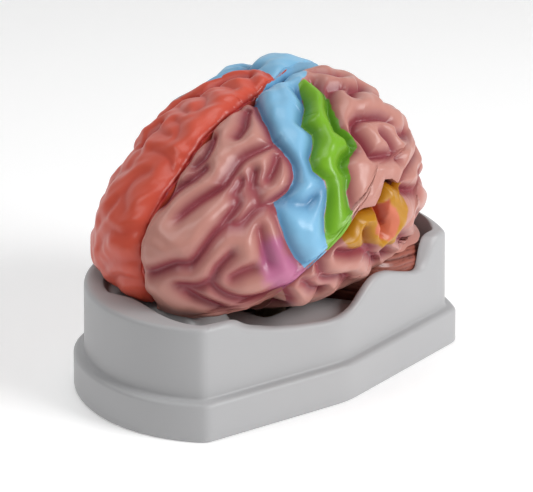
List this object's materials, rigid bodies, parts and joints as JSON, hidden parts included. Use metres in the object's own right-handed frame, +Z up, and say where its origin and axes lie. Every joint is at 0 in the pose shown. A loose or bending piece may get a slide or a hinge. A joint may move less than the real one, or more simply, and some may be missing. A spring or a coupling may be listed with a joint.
{
  "type": "brain anatomy model",
  "caption": "Life-size brain anatomy model with folded lobes that lift apart, resting in a tall curved base.",
  "frame": {"origin": "middle of the base's underside", "axes": "+X to the left side of the brain, -Y to its forehead, +Z up"},
  "size_m": [0.1395, 0.203, 0.1479],
  "materials": {
    "base_plastic": "semi-matte moulded plastic",
    "painted_brain": "hand-painted and clear-coated cast plastic",
    "painted_cerebellum": "painted cast plastic",
    "painted_brainstem": "painted cast plastic",
    "peg_steel": "plain steel"
  },
  "bodies": {
    "base": {"base": "base_plastic", "right_half": "painted_brain", "left_cerebellum": "painted_cerebellum", "left_brainstem": "painted_brainstem"},
    "lower_lobes": {"left_temporal_occipital": "painted_brain", "lobe_pegs": "peg_steel"},
    "upper_lobes": {"left_frontal_parietal": "painted_brain"}
  },
  "joints": [
    {"name": "lift_lower_lobes", "type": "slide", "parent": "base", "child": "lower_lobes", "axis": [0, 0, 1], "range_m": [0, 0.09]},
    {"name": "lift_upper_lobes", "type": "slide", "parent": "lower_lobes", "child": "upper_lobes", "axis": [0, 0, 1], "range_m": [0, 0.08]}
  ]
}
